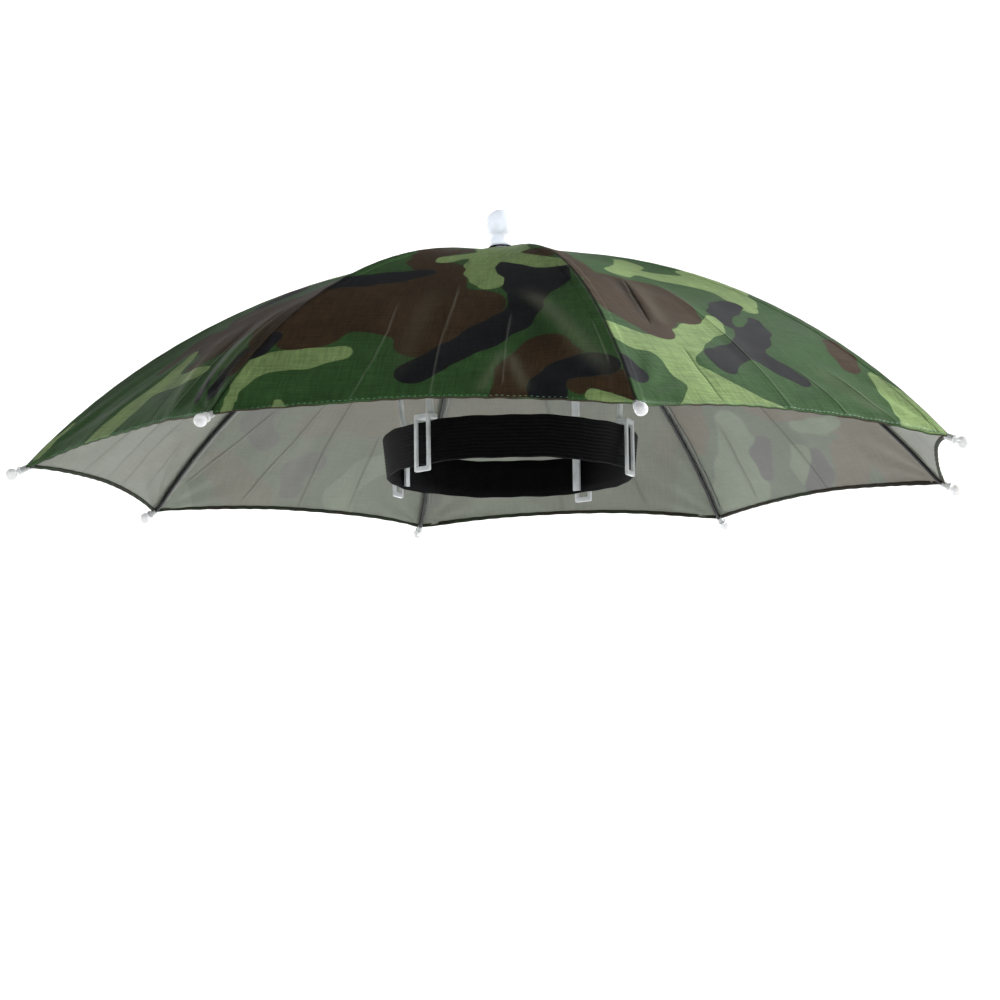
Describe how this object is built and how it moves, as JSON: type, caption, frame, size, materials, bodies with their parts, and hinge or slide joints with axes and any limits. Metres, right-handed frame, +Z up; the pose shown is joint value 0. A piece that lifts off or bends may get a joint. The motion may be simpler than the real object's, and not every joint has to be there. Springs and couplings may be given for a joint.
{
  "type": "umbrella hat",
  "caption": "Hands-free umbrella worn as a hat: camouflage canopy on curved ribs, legs with loops round an elastic headband.",
  "frame": {"origin": "the middle of the headband at half its height, where a head sits; the canopy's axis stands 4 mm to its -X side", "axes": "+Z up out of the crown, -Y the way the wearer faces, +X to the wearer's left, which is the picture's right"},
  "size_m": [0.5635, 0.5628, 0.1693],
  "materials": {
    "canopy_cloth": "plain-woven polyester, printed in a woodland camouflage outside, silver coated inside",
    "rib_steel": "black paint, semi-gloss",
    "tip_plastic": "glossy white moulding",
    "leg_plastic": "milky translucent moulding",
    "elastic": "black ribbed woven elastic, matt",
    "washer_cloth": "black, matt",
    "finial_plastic": "glossy bluish-white translucent moulding"
  },
  "bodies": {
    "root": {"gore_1": "canopy_cloth", "rib_1": "rib_steel", "tip_1": "tip_plastic", "gore_2": "canopy_cloth", "rib_2": "rib_steel", "tip_2": "tip_plastic", "gore_3": "canopy_cloth", "rib_3": "rib_steel", "tip_3": "tip_plastic", "gore_4": "canopy_cloth", "rib_4": "rib_steel", "tip_4": "tip_plastic", "gore_5": "canopy_cloth", "rib_5": "rib_steel", "tip_5": "tip_plastic", "gore_6": "canopy_cloth", "rib_6": "rib_steel", "tip_6": "tip_plastic", "gore_7": "canopy_cloth", "rib_7": "rib_steel", "tip_7": "tip_plastic", "gore_8": "canopy_cloth", "rib_8": "rib_steel", "tip_8": "tip_plastic", "leg_1": "leg_plastic", "leg_2": "leg_plastic", "leg_3": "leg_plastic", "leg_4": "leg_plastic", "headband": "elastic", "hub": "leg_plastic", "crown_washer": "washer_cloth", "finial": "finial_plastic"}
  },
  "joints": []
}
